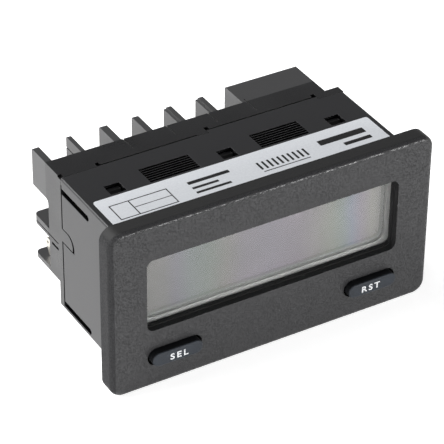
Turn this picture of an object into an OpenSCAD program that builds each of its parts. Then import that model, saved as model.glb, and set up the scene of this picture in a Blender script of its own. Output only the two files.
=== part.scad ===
// Panel counter with a liquid crystal display, two keys and two rows of screw terminals.
// X runs to the right, Y to the rear and Z up. The origin is the middle of the face that
// seats on the panel, so the bezel lies in front of it and the case behind it.

/* [Bezel] */
// Width of the bezel
bezel_w = 75; // [72:0.5:90]
// Height of the bezel
bezel_h = 39; // [37:0.5:50]
// Thickness of the bezel in front of the panel
bezel_t = 4; // [3.4:0.1:6]
// Corner radius of the bezel, seen from the front
bezel_corner_r = 2.9; // [2.5:0.1:6]
// Rounding of the bezel's front edge
bezel_edge_r = 1.1; // [0.4:0.1:2.2]
// Thickness of the wall behind the bezel's face
front_wall = 2.5; // [2:0.1:3]

/* [Case] */
// Overhang of the bezel at each side of the case
flange_side = 4; // [2.5:0.1:6]
// Overhang of the bezel above and below the case
flange_top = 3.3; // [2.5:0.1:4]
// Depth of the case's top and bottom walls behind the panel
case_l = 23.7; // [23:0.1:30]
// Thickness of the case's walls
case_wall = 1.5; // [1.2:0.1:1.7]
// Rounding of the case's long edges
case_edge_r = 0.5; // [0.2:0.1:1]
// Depth of each tooth that the mounting clip catches
tooth_depth = 0.45; // [0.2:0.05:0.8]
// Pitch of the teeth along the case
tooth_pitch = 0.77; // [0.6:0.01:0.9]
// Width of each row of teeth
tooth_row_w = 11.4; // [8:0.2:14]
// Distance from the middle to the centre of each row of teeth
tooth_row_x = 12.9; // [10:0.1:14]
// Depth behind the panel of the front of the teeth
tooth_row_y = 13.5; // [13.1:0.1:14.5]

/* [Window] */
// Distance from the case's side to the window's edge
window_side = 4.2; // [3.9:0.1:7]
// Distance from the display frame's top to the window's edge
window_border = 3.15; // [2.9:0.05:5]
// Corner radius of the window
window_r = 1.65; // [1:0.05:4]
// Depth of the window's outer step
window_step_y = 1.5; // [0.8:0.1:1.8]
// Width of the window's step
window_step = 0.22; // [0.1:0.02:0.4]
// Thickness of the clear window
lens_t = 1.2; // [0.8:0.1:2]

/* [Display] */
// Thickness of the frame's walls
frame_wall = 1.3; // [1.1:0.1:1.6]
// Thickness of the frame's lip between the window and the display
lip_t = 0.6; // [0.4:0.1:1]
// Width of the frame's lip that shows inside the window
lip_show = 0.75; // [0.5:0.05:2.5]
// Thickness of each sheet of display glass
glass_t = 1.1; // [0.7:0.1:1.3]
// Width of the contact ledges on the front glass
glass_ledge = 2.4; // [2:0.1:3]
// Thickness of the polarising film and of the reflector
film_t = 0.2; // [0.1:0.05:0.4]
// Height of the rubber contact strips between glass and board
strip_h = 3.4; // [2.4:0.1:4]
// Thickness of the rubber contact strips
strip_t = 1.4; // [1:0.1:1.6]

/* [Keys] */
// Length of a key's face
key_l = 11.5; // [9:0.1:13]
// Height of a key's face
key_h = 3.2; // [2.8:0.1:3.6]
// Gap between a key and its hole in the bezel
key_gap = 0.45; // [0.3:0.05:0.6]
// Distance from the case's side to the middle of each key
key_side = 10.4; // [9:0.1:14]
// Distance from the bottom of the case up to the keys' centre line
key_rise = 3.95; // [3.8:0.05:4.4]
// How far the keys stand proud of the bezel
key_proud = 1.5; // [1.1:0.1:2]
// Rounding of the key's front edge
key_edge_r = 0.4; // [0.3:0.05:1.2]
// Travel of a key when it is pressed
key_travel = 1; // [0.5:0.1:1]
// Length of the stem behind each key
stem_l = 9; // [6:0.1:10]
// Height of the stem behind each key
stem_h = 2; // [1.8:0.1:2.2]
// Radius of the contact pill under each key
pill_r = 0.85; // [0.5:0.05:0.9]
// Thickness of the contact pill
pill_t = 0.6; // [0.3:0.1:0.8]
// Height of the keypad's base sheet, below the display
keypad_h = 5.2; // [4.8:0.1:6]
// Thickness of the keypad's base sheet
mat_t = 1; // [0.6:0.1:1.4]
// Height of the collar around each key stem
collar_h = 1; // [0.6:0.1:1.4]

/* [Boards] */
// Thickness of the circuit boards
board_t = 1.6; // [1:0.1:1.7]
// Clearance between boards or frame and the case
board_gap = 0.3; // [0.2:0.05:0.4]
// Distance from the rear board to the cover
post_l = 3.4; // [3:0.1:4.4]
// Radius of the spacers between the boards
spacer_r = 2; // [1.6:0.1:2.4]
// Number of contact pairs in the connector between the boards
header_pairs = 8; // [4:1:10]
// Pitch of the connector's contacts
header_pitch = 2.54; // [2:0.01:2.54]

/* [Rear cover] */
// Thickness of the cover's rear plate
cover_t = 1.6; // [1.3:0.1:2.2]
// Thickness of the cover's left wall
cover_wall = 1.5; // [1.2:0.1:1.6]
// Thickness of the roof over the terminals
roof_t = 1.4; // [1.2:0.1:1.6]
// How far the roof reaches behind the rear plate
roof_out = 5; // [4:0.1:7]
// How far the fins reach behind the rear plate
fin_out = 11.5; // [8:0.1:13]
// How far the closed hood reaches behind the rear plate
hood_out = 12.3; // [9:0.1:14]
// Height of the fins down from the top
fin_h = 8.7; // [8.4:0.1:10]
// Thickness of the fins
fin_t = 1.6; // [1.3:0.1:1.7]
// Thickness of the hood's walls
hood_wall = 1.4; // [1:0.1:2]
// Distance from the hood to the right side of the case
hood_side = 3.3; // [2:0.1:6]
// Least width of the hood
hood_w = 17.5; // [15:0.1:20]
// How far the left wall reaches behind the rear plate
wall_out = 4.2; // [3:0.1:5.2]
// How far the two shelves reach behind the rear plate
shelf_out = 11.1; // [8:0.1:13]
// Height of the middle shelf's top face
shelf_z = 0.5; // [-0.3:0.1:1.2]
// Thickness of the middle shelf
shelf_t = 2.1; // [1.6:0.1:2.6]
// Height of the lower shelf's top face
low_shelf_z = -9.05; // [-9.6:0.05:-8.8]
// Thickness of the lower shelf
low_shelf_t = 1.05; // [0.8:0.05:1.6]
// Gap between case and cover at the side walls
side_seam = 0.45; // [0.2:0.05:0.6]
// Gap between case and cover along the top and bottom
top_seam = 0.1; // [0.05:0.05:0.3]

/* [Terminals] */
// Pitch of the terminals
terminal_pitch = 7.62; // [7.5:0.01:7.9]
// Side of the square terminal posts
pole = 4.9; // [4.4:0.1:5]
// How far the posts reach behind the rear plate
pole_out = 3; // [2:0.1:4]
// Radius of the screw heads
screw_head_r = 2.6; // [2.2:0.1:2.6]
// Height of the screw heads
screw_head_t = 2; // [1.4:0.1:2.4]
// Radius of the screw shanks
screw_r = 1.45; // [1.2:0.05:1.5]
// How far the loose input screws are backed off
input_backed_off = 2; // [0:0.1:2.4]
// How far each output screw is backed off
output_backed_off = 1.6; // [0:0.1:2.4]
// Thickness of the wire clamps
clamp_t = 0.8; // [0.5:0.1:1]

/* [Label] */
// Width of the label on top of the case
label_w = 64.2; // [50:0.2:64.4]
// Front-to-rear size of the label
label_d = 10.4; // [8:0.1:10.8]
// Depth behind the panel of the label's rear edge
label_y = 12.8; // [12:0.1:13]
// Thickness of the label
label_t = 0.12; // [0.08:0.01:0.2]

/* [Hidden] */
$fn = 48;
// Small running gaps and seats that mating pieces share, and the overlap of cuts and joins
fit = 0.15;
slack = 0.25;
bite = 1;

// Case, inside and out
case_w = bezel_w - 2 * flange_side;
case_h = bezel_h - 2 * flange_top;
top_z = case_h / 2;
in_w = case_w - 2 * case_wall;
in_h = case_h - 2 * case_wall;
front_y = -bezel_t;
wall_y = front_y + front_wall;
tooth_count = 7;
tooth_flat = 0.1;

// Display stack, from the window back to the first board
frame_w = in_w - 2 * board_gap;
display_h = in_h - 3 * board_gap - keypad_h;
display_z = in_h / 2 - board_gap - display_h / 2;
window_w = case_w - 2 * window_side;
window_h = display_h - 2 * window_border;
pane_w = frame_w - 2 * (frame_wall + fit);
pane_h = display_h - 2 * (frame_wall + fit);
pane_r = 1;
lens_back = wall_y + lens_t;
glass_y = lens_back + lip_t;
ledge_y = glass_y + glass_t;
rear_glass_y = ledge_y + glass_t;
board_y = ledge_y + strip_h;
board_back = board_y + board_t;
view_w = window_w - 2 * lip_show;
view_h = window_h - 2 * lip_show;
view_r = window_r + 0.75;
film_margin = 0.95;
film_r = window_r + 0.25;
lens_gap = 0.05;
reflector_inset = 0.5;
strip_end = 2.5;
strip_l = pane_w - 2 * strip_end;
strip_z = pane_h / 2 - glass_ledge / 2;
stake_r = 0.5;
stake_inset = 3;
stake_x = frame_w / 2 - frame_wall / 2;
stake_z = display_h / 2 - stake_inset;
stake_head_r = 0.85;
stake_head_t = 0.6;
stake_gap = 0.05;

// Keypad
key_x = case_w / 2 - key_side;
key_z = key_rise - top_z;
key_front = front_y - key_proud;
key_tail = 0.8;
stem_y = wall_y + key_tail;
pill_y = board_y - key_travel - fit - pill_t;
mat_y = board_y - mat_t;
mat_w = in_w - 2 * board_gap;
mat_bottom = -in_h / 2 + board_gap;
collar_t = 0.45;

// Boards and what they carry, with places given as [across, up]
cover_y = case_l + top_seam;
input_back = cover_y - post_l;
input_y = input_back - board_t;
board_w = in_w - 2 * board_gap;
board_h = in_h - 2 * board_gap;
spacer_side = 3.3;
spacer_x = board_w / 2 - spacer_side;
spacer_z = 4.2;
spacer_pin_r = 0.8;
lead_foil = 0.2;
chip_stand = 0.1;
controller_leads = 14;
controller_pitch = 0.8;
memory_leads = 4;
input_chip_leads = 7;
chip_pitch = 1.2;
board_left = -board_w / 2;
board_right = board_w / 2;
board_top = board_h / 2;
controller_at = [board_left + 19.7, 2];
controller_size = [12, 10, 2];
memory_at = [board_left + 33.7, board_top - 5.4];
memory_size = [5, 4, 1.7];
input_chip_at = [board_right - 9.7, 8.4 - board_top];
input_chip_size = [8.6, 4, 1.7];
crystal_at = [board_left + 19.7, 6.4 - board_top];
crystal_size = [10.4, 3.8, 3.6];
crystal_foot = 0.5;
regulator_at = [board_right - 11.7, 2.9 - board_top];
regulator_size = [6.2, 3.4, 2];
regulator_tab = [2.4, 3.2, 0.5];
capacitor_r = 4;
capacitor_l = 12;
capacitor_z = top_z - 7.9;
capacitor_groove_r = 0.6;
capacitor_groove_y = 2;
header_w = header_pairs * header_pitch + 2 * fit;
header_d = 2 * header_pitch;
header_x = board_right - 17.7;
header_plug = 4.1;
header_split = board_back + header_plug;
header_pin = 0.64;
header_pin_l = 4;

// Rear cover
cover_back = cover_y + cover_t;
roof_y = cover_back + roof_out;
fin_y = cover_back + fin_out;
hood_y = cover_back + hood_out;
shelf_y = cover_back + shelf_out;
fin_z = top_z - fin_h;
fin_r = 0.4;
left_fin_short = 0.5;
fin_share = [0.62, 1.06, 0.88, 1, 1];
fin_rebate = 0.5;
fin_line_z = 2.7;
fin_line_h = 0.3;
fin_line_t = 0.2;
shelf_r = 1.2;
shelf_bottom = shelf_z - shelf_t;
low_shelf_bottom = low_shelf_z - low_shelf_t;
right_lip = 0.5;
wall_fillet = 1;
roof_groove_x = [-15.7, -5.6, 4.3, 13.7];
roof_groove_l = 4;
roof_groove_w = 0.3;
roof_groove_t = 0.25;
post_r = 1.3;
post_side = 2;
post_z = [shelf_z + 2, 4 - top_z];
corner_notch = [0.8, 1.2, 0.4];

// Terminals, in two rows
first_pole = 5.05;
fin_lead = 3.05;
terminal_room = case_w - first_pole - fin_lead - hood_w - hood_side;
terminal_count = 1 + floor(terminal_room / terminal_pitch + fit / terminal_pitch);
function pole_x(i) = -case_w / 2 + first_pole + i * terminal_pitch;
hood_x0 = pole_x(terminal_count - 1) + fin_lead;
hood_x1 = case_w / 2 - hood_side;
pole_y = cover_back + pole_out;
row_drop = 5.2;
input_row_z = top_z - row_drop;
output_row_z = (shelf_bottom + low_shelf_z) / 2 - 0.3;
block_end = 0.4;
screw_rise = 0.4;
screw_l = 6;
screw_gap = 0.2;
screw_dome_r = 4;
drive_w = 0.8;
drive_t = 0.8;
loose = [0, 0, 1, 1, 1, 0];
plate_t = 0.8;
plate_h = 5;
lead_w = 2;
lead_t = 0.5;
lead_z = screw_rise - plate_h / 2 + lead_t / 2;
lead_out = 0.8;
clamp_lip = 0.6;
clamp_y = pole_y + plate_t;
clamp_h = plate_h + 2 * (clamp_lip + 0.1);
head_y = clamp_y + clamp_t;
cheek_t = 0.6;
cheek_foot = [1.9, -3.6];
cheek_head = [2.3, -0.75];
cheek_head_r = 1;
cheek_hole_r = 0.3;
output_clamp_w = 2 * (screw_head_r + screw_gap + cheek_t);

// Latches between case and cover
latch_side = case_w / 2 - 7.7;
latch_x = [-latch_side, 0, latch_side];
latch_w = 3;
latch_gap = 0.25;
latch_y = tooth_row_y + latch_gap;
latch_hook_l = 2.8;
latch_crest = 1;
latch_t = 0.8;
latch_window_l = latch_hook_l + 2 * latch_gap;
latch_rise = case_wall * 0.7;
latch_z = in_h / 2 - 0.2;
side_tongue_l = 4.6;
side_tongue_tip = 0.4;
side_tongue_z = 0.95;
side_tongue_h = 3;
side_tongue_r = 2.4;
side_tongue_gap = 0.3;
side_slot_l = 11.5;
side_slot_h = 1.4;
side_slot_z = [top_z - 3, 1.6 - top_z];
// Tongues on the rear edge of the case's top: left end, right end, reach
top_tongues = [[8.5 - case_w / 2, -2, 0.2], [0.7, case_w / 2 - 6.2, 1]];
top_tongue_gap = 0.35;
top_tongue_side = 0.1;
relief = [0.9, 0.9, 0.8];
label_r = 0.6;
release_y = cover_back + 0.2;
release_slit = 0.3;
release_w = 10;
release_slot = [2.9, 0.6];
release_drop = 0.4;
release_share = 0.64;

// An outline drawn as seen from the front, carried from depth y0 back to depth y1
module from_front(y0, y1) {
    translate([0, y1, 0]) rotate([90, 0, 0]) linear_extrude(y1 - y0) children();
}

// An outline drawn as seen from the left, depth by height, carried from x0 to x1
module from_side(x0, x1) {
    translate([x0, 0, 0]) rotate([90, 0, 90]) linear_extrude(x1 - x0) children();
}

// An outline drawn as seen from above, carried from z0 up to z1
module from_top(z0, z1) {
    translate([0, 0, z0]) linear_extrude(z1 - z0) children();
}

module block(x0, x1, y0, y1, z0, z1) {
    translate([x0, y0, z0]) cube([x1 - x0, y1 - y0, z1 - z0]);
}

module rod(r, y0, y1) {
    translate([0, y1, 0]) rotate([90, 0, 0]) cylinder(r = r, h = y1 - y0);
}

module at(place) {
    translate([place[0], 0, place[1]]) children();
}

module round_rect(w, h, r) {
    square([w - 2 * r, h], center = true);
    square([w, h - 2 * r], center = true);
    for (sx = [-1, 1], sz = [-1, 1]) translate([sx * (w / 2 - r), sz * (h / 2 - r)]) circle(r);
}

module stadium(l, h) {
    square([l - h, h], center = true);
    for (s = [-1, 1]) translate([s * (l - h) / 2, 0]) circle(h / 2);
}

// Section of a slab's edge: flat at the back, rounded at the front
module edge_section(r, t, e) {
    square([r - e, t]);
    square([r, t - e]);
    translate([r - e, t - e]) circle(e);
}

// Slab with round corners and a rounded front edge, its back on depth 0
module rounded_slab(w, h, t, r, e) {
    run_w = w - 2 * r;
    run_h = h - 2 * r;
    rotate([90, 0, 0]) {
        translate([-run_w / 2, -run_h / 2, 0]) cube([run_w, run_h, t]);
        for (turn = [0, 180]) rotate(turn) {
            translate([-run_w / 2, run_h / 2, 0]) rotate([90, 0, 90]) linear_extrude(run_w)
                edge_section(r, t, e);
            translate([run_w / 2, run_h / 2, 0]) rotate([90, 0, 0]) linear_extrude(run_h)
                edge_section(r, t, e);
            translate([run_w / 2, run_h / 2, 0]) rotate_extrude(angle = 90) edge_section(r, t, e);
            translate([run_w / 2, -run_h / 2, 0]) rotate(-90) rotate_extrude(angle = 90)
                edge_section(r, t, e);
        }
    }
}

// Saw teeth that let the mounting clip slide forward and hold it there
module clip_teeth() {
    run = tooth_pitch - tooth_flat;
    for (side = [-1, 1], i = [0:tooth_count - 1])
        from_side(side * tooth_row_x - tooth_row_w / 2, side * tooth_row_x + tooth_row_w / 2)
            translate([tooth_row_y + i * tooth_pitch, top_z])
                polygon([[0, bite], [0, 0], [run, -tooth_depth], [run, bite]]);
}

module latch_windows() {
    for (x = latch_x)
        block(x - latch_w / 2 - latch_gap, x + latch_w / 2 + latch_gap, latch_y - latch_gap,
            latch_y - latch_gap + latch_window_l, in_h / 2 - bite, top_z + bite);
}

// Side view of the cover's tongue in the case's side wall, grown by g all round and by tip at its end
module side_tongue_outline(g, tip = 0) {
    y0 = cover_y - side_tongue_l - g - tip;
    z0 = side_tongue_z - g;
    l = side_tongue_l + g + tip;
    h = side_tongue_h + 2 * g;
    r = side_tongue_r + g;
    intersection() {
        translate([y0, z0]) square([l, h]);
        union() {
            translate([y0, z0]) square([l, h - r]);
            translate([y0 + r, z0]) square([l - r, h]);
            translate([y0 + r, z0 + h - r]) circle(r);
        }
    }
}

// Slots in the case's side, open to the rear
module side_slots() {
    r = side_slot_h / 2;
    for (z = side_slot_z) translate([cover_y - side_seam - side_slot_l + r, z]) {
        circle(r);
        translate([0, -r]) square([side_slot_l + bite, side_slot_h]);
    }
}

// Bezel and case, moulded as one piece
module front_case() color("#3d3d3f") difference() {
    union() {
        rounded_slab(bezel_w, bezel_h, bezel_t, bezel_corner_r, bezel_edge_r);
        from_front(-front_wall / 2, case_l) round_rect(case_w, case_h, case_edge_r);
        for (t = top_tongues) block(t[0], t[1], case_l - bite, case_l + t[2], in_h / 2, top_z);
    }
    from_front(wall_y, cover_back) square([in_w, in_h], center = true);
    translate([0, 0, display_z]) {
        from_front(front_y - bite, front_y + window_step_y) round_rect(window_w, window_h, window_r);
        from_front(front_y, wall_y + bite)
            round_rect(window_w - 2 * window_step, window_h - 2 * window_step, window_r - window_step);
    }
    for (side = [0, 1]) {
        mirror([side, 0, 0]) {
            translate([key_x, 0, key_z]) from_front(front_y - bite, wall_y + bite)
                stadium(key_l + 2 * key_gap, key_h + 2 * key_gap);
            from_side(in_w / 2, case_w / 2 + bite) {
                side_slots();
                side_tongue_outline(side_tongue_gap, side_tongue_tip);
                translate([cover_y - side_seam, -in_h / 2]) square([cover_t, in_h]);
            }
        }
        mirror([0, 0, side]) {
            clip_teeth();
            latch_windows();
        }
    }
}

// Clear window seated behind the front wall
module display_window() color("#b9c0c4", 0.4)
    translate([0, 0, display_z]) from_front(wall_y, lens_back) round_rect(pane_w, pane_h, pane_r);

// Moulded frame that carries window, display and contact strips, staked to the board
module lcd_frame() color("#9c9c9e") translate([0, 0, display_z]) {
    difference() {
        union() {
            from_front(wall_y, board_y) square([frame_w, display_h], center = true);
            for (sx = [-1, 1], sz = [-1, 1]) translate([sx * stake_x, 0, sz * stake_z]) {
                rod(stake_r, board_y - bite, board_back + stake_head_t);
                rod(stake_head_r, board_back, board_back + stake_head_t);
            }
        }
        from_front(wall_y - bite, lens_back + lens_gap)
            square([pane_w + 2 * fit, pane_h + 2 * fit], center = true);
        from_front(wall_y, glass_y + bite) round_rect(view_w, view_h, view_r);
        from_front(glass_y, board_y) square([pane_w + 2 * fit, pane_h + 2 * fit], center = true);
    }
}

// Polarising film on the front of the display
module lcd_polariser() color("#8f8d90") translate([0, 0, display_z])
    from_front(glass_y - film_t, glass_y)
        round_rect(view_w - 2 * film_margin, view_h - 2 * film_margin, film_r);

// Display cell: two sheets of glass, the front one taller so that its contacts face the rear
module lcd_cell() color("#a9adab") translate([0, 0, display_z]) {
    from_front(glass_y, ledge_y) square([pane_w, pane_h], center = true);
    from_front(ledge_y, rear_glass_y) square([pane_w, pane_h - 2 * glass_ledge], center = true);
}

module lcd_reflector() color("#c4c6c4") translate([0, 0, display_z])
    from_front(rear_glass_y, rear_glass_y + film_t)
        square([pane_w - 2 * reflector_inset, pane_h - 2 * (glass_ledge + reflector_inset)], center = true);

module contact_strip(side) {
    translate([0, 0, display_z + side * strip_z])
        from_front(ledge_y, board_y) square([strip_l, strip_t], center = true);
}

module upper_contact_strip() color("#b9a9ab") contact_strip(1);

module lower_contact_strip() color("#b9a9ab") contact_strip(-1);

// Silicone keypad sheet with a collar around each key stem
module keypad_mat() color("#2a2d30") difference() {
    union() {
        from_front(mat_y, board_y) translate([-mat_w / 2, mat_bottom]) square([mat_w, keypad_h]);
        for (side = [-1, 1]) translate([side * key_x, 0, key_z])
            from_front(mat_y - collar_h, mat_y + mat_t / 2)
                stadium(stem_l + 2 * (slack + collar_t), stem_h + 2 * (slack + collar_t));
    }
    for (side = [-1, 1]) translate([side * key_x, 0, key_z])
        from_front(mat_y - collar_h - bite, board_y + bite) stadium(stem_l + 2 * slack, stem_h + 2 * slack);
}

// Key with a crowned edge in front and a narrower stem behind
module key() translate([0, 0, key_z]) {
    run = key_l - key_h;
    t = stem_y - key_front;
    translate([0, stem_y, 0]) rotate([90, 0, 0]) {
        for (turn = [0, 180]) rotate(turn) {
            translate([-run / 2, 0, 0]) rotate([90, 0, 90]) linear_extrude(run)
                edge_section(key_h / 2, t, key_edge_r);
            translate([run / 2, 0, 0]) rotate(-90) rotate_extrude(angle = 180)
                edge_section(key_h / 2, t, key_edge_r);
        }
    }
    from_front(stem_y - bite, pill_y) stadium(stem_l, stem_h);
}

module contact_pill() translate([0, 0, key_z]) rod(pill_r, pill_y, pill_y + pill_t);

module sel_key() color("#30363a") translate([-key_x, 0, 0]) key();

module rst_key() color("#30363a") translate([key_x, 0, 0]) key();

module sel_contact_pill() color("#161616") translate([-key_x, 0, 0]) contact_pill();

module rst_contact_pill() color("#161616") translate([key_x, 0, 0]) contact_pill();

module at_spacers() {
    for (sx = [-1, 1], sz = [-1, 1]) translate([sx * spacer_x, 0, sz * spacer_z]) children();
}

module display_board() color("#2c6a3f") difference() {
    from_front(board_y, board_back) square([board_w, board_h], center = true);
    for (sx = [-1, 1], sz = [-1, 1]) translate([sx * stake_x, 0, display_z + sz * stake_z])
        rod(stake_r + stake_gap, board_y - bite, board_back + bite);
    at_spacers() rod(spacer_pin_r + fit, board_y - bite, board_back + bite);
}

// Chip package with bent leads along two sides, lying on the rear of a board at depth y
module chip(size, leads, pitch, y) {
    w = pitch / 3;
    foot = 2 * lead_foil;
    mid = y + size[2] / 2;
    from_front(y + chip_stand, y + size[2]) square([size[0], size[1]], center = true);
    for (side = [0, 1], i = [0:leads - 1]) mirror([0, 0, side])
        translate([(i - (leads - 1) / 2) * pitch - w / 2, 0, size[1] / 2]) {
            block(0, w, mid - lead_foil / 2, mid + lead_foil / 2, -foot, foot);
            block(0, w, y, mid + lead_foil / 2, foot - lead_foil, foot);
        }
}

module controller_chip() color("#1d1d1f") at(controller_at)
    chip(controller_size, controller_leads, controller_pitch, board_back);

module memory_chip() color("#1d1d1f") at(memory_at)
    chip(memory_size, memory_leads, chip_pitch, board_back);

// Crystal in a low metal can with an oval foot
module timing_crystal() color("#c3c5c8") at(crystal_at) {
    from_front(board_back, board_back + crystal_foot)
        stadium(crystal_size[0] + 2 * crystal_foot, crystal_size[1] + 2 * crystal_foot);
    from_front(board_back, board_back + crystal_size[2]) stadium(crystal_size[0], crystal_size[1]);
}

module at_contacts() {
    for (i = [0:header_pairs - 1], s = [-0.5, 0.5])
        translate([header_x + (i - (header_pairs - 1) / 2) * header_pitch, 0, s * header_pitch]) children();
}

// Plug of the connector between the boards, with its square pins
module board_header() color("#212226") {
    translate([header_x, 0, 0])
        from_front(board_back, header_split) square([header_w, header_d], center = true);
    at_contacts() from_front(header_split - bite, header_split + header_pin_l)
        square(header_pin, center = true);
}

module board_socket() color("#212226") difference() {
    translate([header_x, 0, 0])
        from_front(header_split, input_y) square([header_w, header_d], center = true);
    at_contacts() from_front(header_split - bite, header_split + header_pin_l + slack)
        square(header_pin + 2 * fit, center = true);
}

// Spacers with a pin at each end that sits in the board
module board_spacers() color("#e3e0d6") at_spacers() {
    rod(spacer_r, board_back, input_y);
    rod(spacer_pin_r, board_back - board_t, input_y + board_t);
}

// Rear board: notched for the cover's latches and drilled for the terminal leads
module input_board() color("#2c6a3f") difference() {
    from_front(input_y, input_back) square([board_w, board_h], center = true);
    for (x = latch_x, side = [0, 1]) mirror([0, 0, side])
        block(x - latch_w / 2 - 2 * latch_gap, x + latch_w / 2 + 2 * latch_gap, input_y - bite,
            input_back + bite, latch_z - latch_t - 2 * latch_gap, in_h);
    at_spacers() rod(spacer_pin_r + fit, input_y - bite, input_back + bite);
    for (z = [input_row_z, output_row_z]) at_poles(z) lead(input_y - bite, input_back + bite, fit);
}

module input_chip() color("#1d1d1f") at(input_chip_at)
    chip(input_chip_size, input_chip_leads, chip_pitch, input_back);

// Regulator with a metal tab soldered flat on the board
module voltage_regulator() color("#232326") at(regulator_at) {
    from_front(input_back, input_back + regulator_size[2])
        square([regulator_size[0], regulator_size[1]], center = true);
    translate([(regulator_size[0] + regulator_tab[0]) / 2 - lead_foil, 0, 0])
        from_front(input_back, input_back + regulator_tab[2])
            square([regulator_tab[0], regulator_tab[1]], center = true);
}

// Filter capacitor standing in the hood, with the rolled groove of its can
module filter_capacitor() color("#3b4a63")
    translate([(hood_x0 + hood_x1) / 2, input_back, capacitor_z]) rotate([-90, 0, 0])
        rotate_extrude() difference() {
            square([capacitor_r, capacitor_l]);
            translate([capacitor_r + slack, capacitor_groove_y]) circle(capacitor_groove_r);
        }

module at_poles(z) {
    for (i = [0:terminal_count - 1]) translate([pole_x(i), 0, z]) children();
}

// Flat lead below a terminal's screw, grown by g
module lead(y0, y1, g) {
    translate([0, 0, lead_z]) from_front(y0, y1) square([lead_w + 2 * g, lead_t + 2 * g], center = true);
}

// Moulded block behind the rear board; its posts pass through the cover
module terminal_block(z) difference() {
    union() {
        from_front(input_back, cover_y - fit)
            translate([pole_x(0) - pole / 2 - block_end, z - pole / 2])
                square([(terminal_count - 1) * terminal_pitch + pole + 2 * block_end, pole]);
        at_poles(z) from_front(input_back, pole_y) square(pole, center = true);
    }
    at_poles(z) {
        translate([0, 0, screw_rise]) rod(screw_r + screw_gap, pole_y - screw_l, pole_y + bite);
        lead(input_back - bite, pole_y + bite, fit);
    }
}

// Contact plates with a tapped hole and a lead that runs to the board
module terminal_plates(z) at_poles(z) difference() {
    union() {
        translate([0, 0, screw_rise]) from_front(pole_y, clamp_y) square([pole, plate_h], center = true);
        lead(input_y - lead_out, clamp_y, 0);
    }
    translate([0, 0, screw_rise]) rod(screw_r + screw_gap / 2, pole_y - bite, clamp_y + bite);
}

// Clamp under a screw head, bent forward at top and bottom so that the wire can't slip out
module wire_clamp(w) difference() {
    union() {
        from_front(clamp_y, head_y) square([w, clamp_h], center = true);
        for (s = [-1, 1]) translate([0, 0, s * (clamp_h - clamp_lip) / 2])
            from_front(clamp_y - clamp_lip, head_y) square([w, clamp_lip], center = true);
    }
    rod(screw_r + screw_gap, clamp_y - bite, head_y + bite);
}

// Screw with a domed head and a cross slot
module terminal_screw() difference() {
    union() {
        rod(screw_r, head_y - screw_l, head_y + bite);
        translate([0, head_y, 0]) rotate([-90, 0, 0]) rotate_extrude() intersection() {
            square([screw_head_r, screw_head_t]);
            translate([0, screw_head_t - screw_dome_r]) circle(screw_dome_r);
        }
    }
    for (turn = [0, 90]) translate([0, head_y + screw_head_t, 0]) rotate([0, turn, 0])
        cube([screw_head_r * 1.3, 2 * drive_t, drive_w], center = true);
}

// Each input screw's place, with the loose ones backed off
module at_input_screws() {
    for (i = [0:terminal_count - 1])
        translate([pole_x(i), loose[i % len(loose)] * input_backed_off, input_row_z + screw_rise]) children();
}

module input_terminal_block() color("#2b2b2d") terminal_block(input_row_z);

module input_terminal_plates() color("#c9c3ae") terminal_plates(input_row_z);

module input_wire_clamps() color("#b3a45f") at_input_screws() wire_clamp(pole);

module input_terminal_screws() color("#b3a45f") at_input_screws() terminal_screw();

module output_terminal_block() color("#2b2b2d") terminal_block(output_row_z);

module output_terminal_plates() color("#c9c3ae") terminal_plates(output_row_z);

// Side view of a clamp's cheek: it leans to the rear and ends in a round head with a small hole
module cheek_outline() {
    y0 = head_y - clamp_t / 2;
    foot_y = head_y + cheek_foot[0];
    head = [head_y + cheek_head[0], cheek_head[1]];
    difference() {
        union() {
            polygon([[y0, cheek_foot[1]], [foot_y, cheek_foot[1]], head + [cheek_head_r, 0],
                head + [0, cheek_head_r], [y0, head[1] + cheek_head_r]]);
            translate(head) circle(cheek_head_r);
        }
        translate(head) circle(cheek_hole_r);
    }
}

// The lower clamps are wider, with side cheeks that stand out past the screw heads
module output_wire_clamps() color("#dcd9cf") translate([0, output_backed_off, screw_rise])
    at_poles(output_row_z) {
        wire_clamp(output_clamp_w);
        for (s = [-1, 1]) from_side(s * (output_clamp_w - cheek_t) / 2 - cheek_t / 2,
            s * (output_clamp_w - cheek_t) / 2 + cheek_t / 2) cheek_outline();
    }

module output_terminal_screws() color("#b3a45f") translate([0, output_backed_off, screw_rise])
    at_poles(output_row_z) terminal_screw();

// Side view of a fin or the hood, with its upper rear corner rounded
module fin_outline(y1, z0) {
    translate([cover_y, z0]) square([y1 - cover_y - fin_r, top_z - z0]);
    translate([cover_y, z0]) square([y1 - cover_y, top_z - z0 - fin_r]);
    translate([y1 - fin_r, top_z - fin_r]) circle(fin_r);
}

// Fins between the terminals: a fine line on the first, a rebate along the top of the last ones
module fins() {
    for (i = [0:terminal_count - 2]) {
        x = pole_x(i) + fin_lead;
        difference() {
            from_side(x, x + fin_t * fin_share[i % len(fin_share)]) fin_outline(fin_y, fin_z);
            if (i == 0) block(x - bite, x + fin_line_t, roof_y, fin_y + bite,
                top_z - fin_line_z, top_z - fin_line_z + fin_line_h);
            if (i > 2) block(x - bite, x + fin_rebate, roof_y, fin_y + bite,
                top_z - fin_rebate, top_z + bite);
        }
    }
}

// Left wall: a fin above, cut back below it with a fillet in the corner
module left_wall() {
    x = -case_w / 2;
    from_side(x, x + cover_wall) {
        fin_outline(fin_y - left_fin_short, fin_z);
        translate([cover_y, low_shelf_bottom]) square([cover_t + wall_out, fin_z - low_shelf_bottom + bite]);
        translate([cover_back + wall_out, fin_z - wall_fillet]) difference() {
            square(wall_fillet);
            translate([wall_fillet, 0]) circle(wall_fillet);
        }
    }
}

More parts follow.
